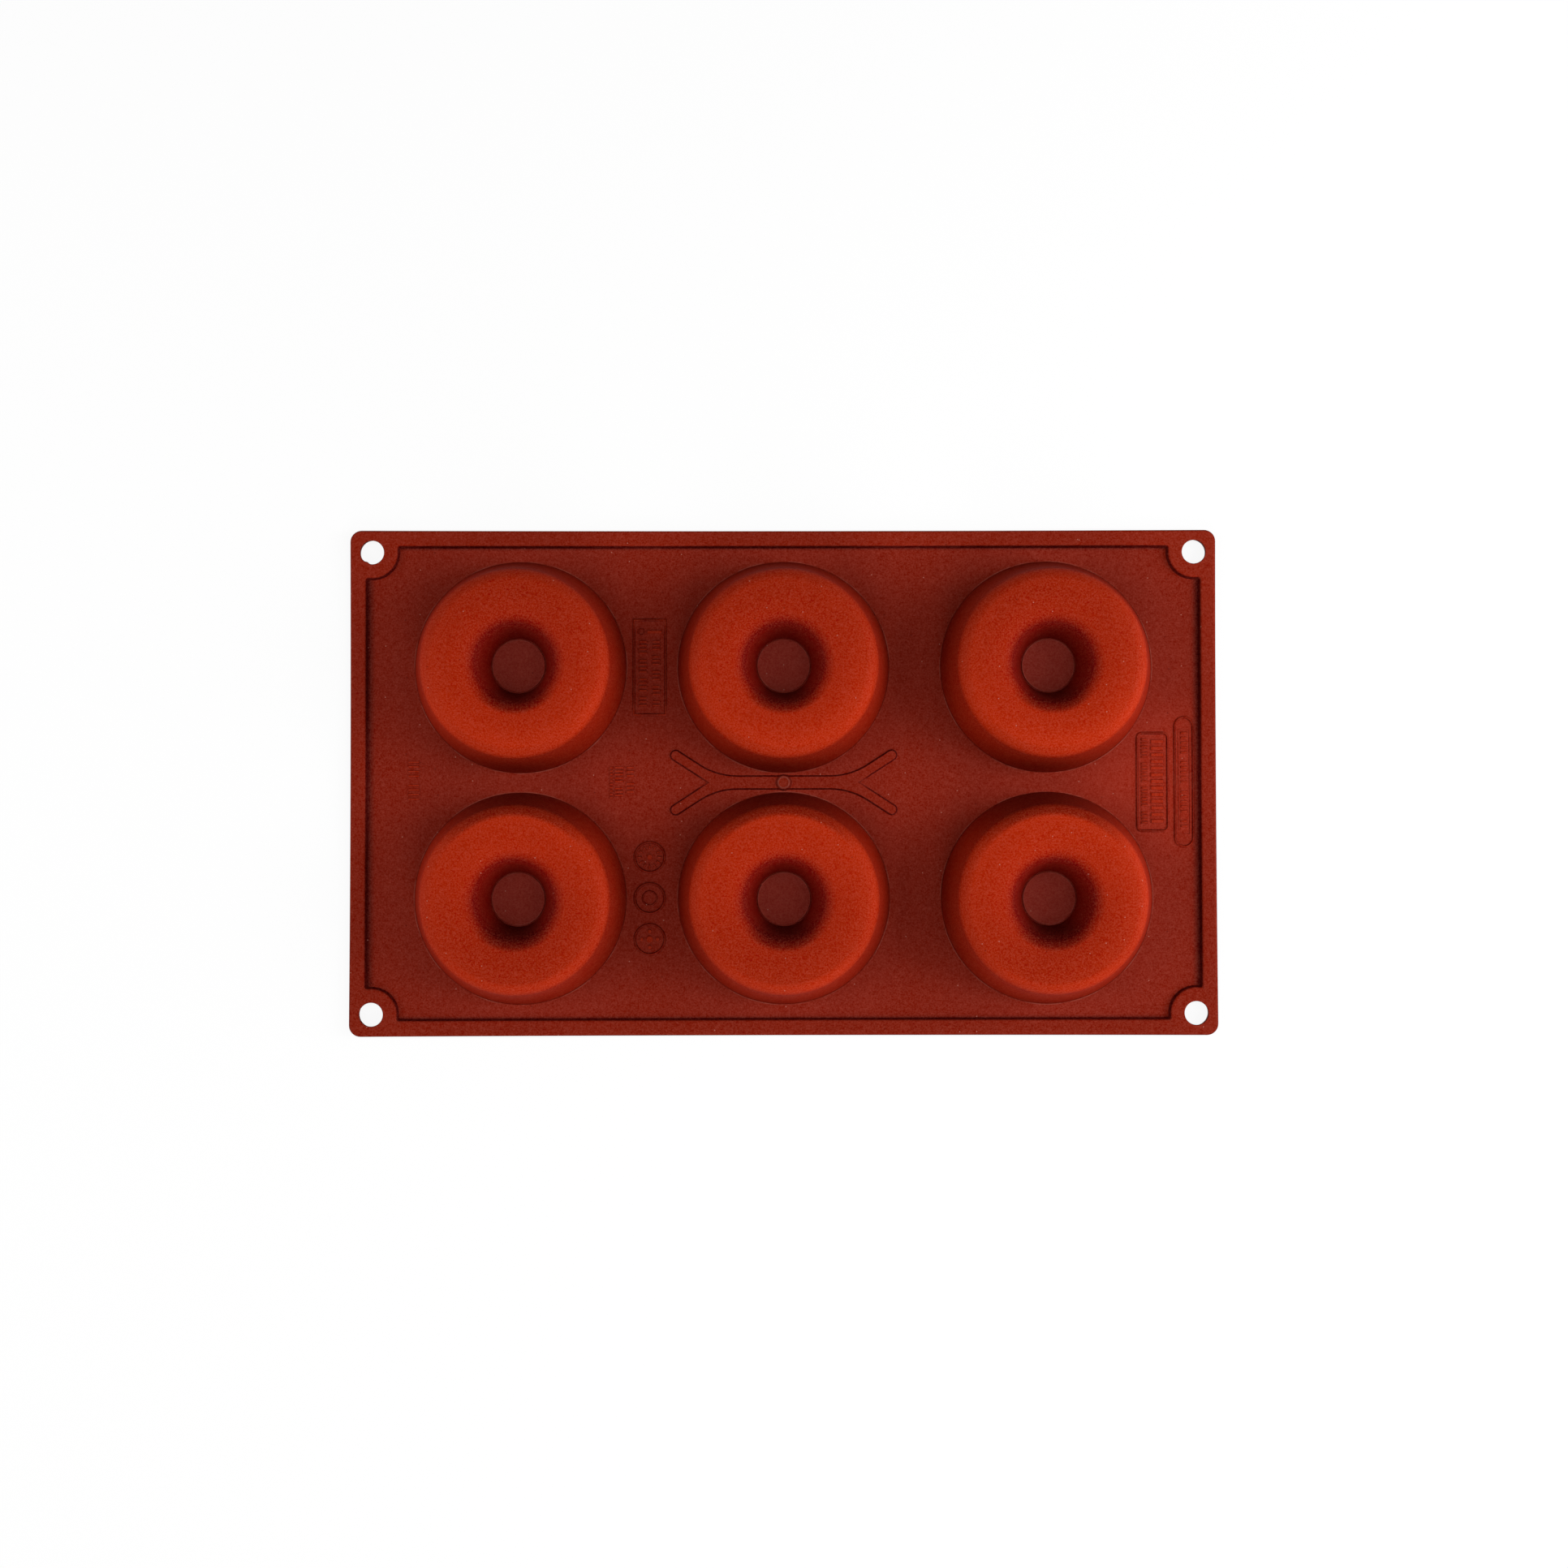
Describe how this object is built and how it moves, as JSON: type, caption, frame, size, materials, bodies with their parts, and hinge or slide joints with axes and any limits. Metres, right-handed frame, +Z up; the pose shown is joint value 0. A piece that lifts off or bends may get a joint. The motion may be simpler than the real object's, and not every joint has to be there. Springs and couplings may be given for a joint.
{
  "type": "silicone baba mould",
  "caption": "Flexible one-piece baking sheet mould with ring-shaped cavities around low centre posts, a thick border and corner holes.",
  "frame": {"origin": "middle of the flat food face, which is the face that the mould lies on here", "axes": "+X along the long side, +Y along the short side, +Z up, from the food face to the crowns of the rings"},
  "size_m": [0.3, 0.175, 0.0245],
  "materials": {
    "silicone": "matte brick-red silicone rubber with a fine moulded grain"
  },
  "bodies": {
    "root": {"mould": "silicone"}
  },
  "joints": []
}
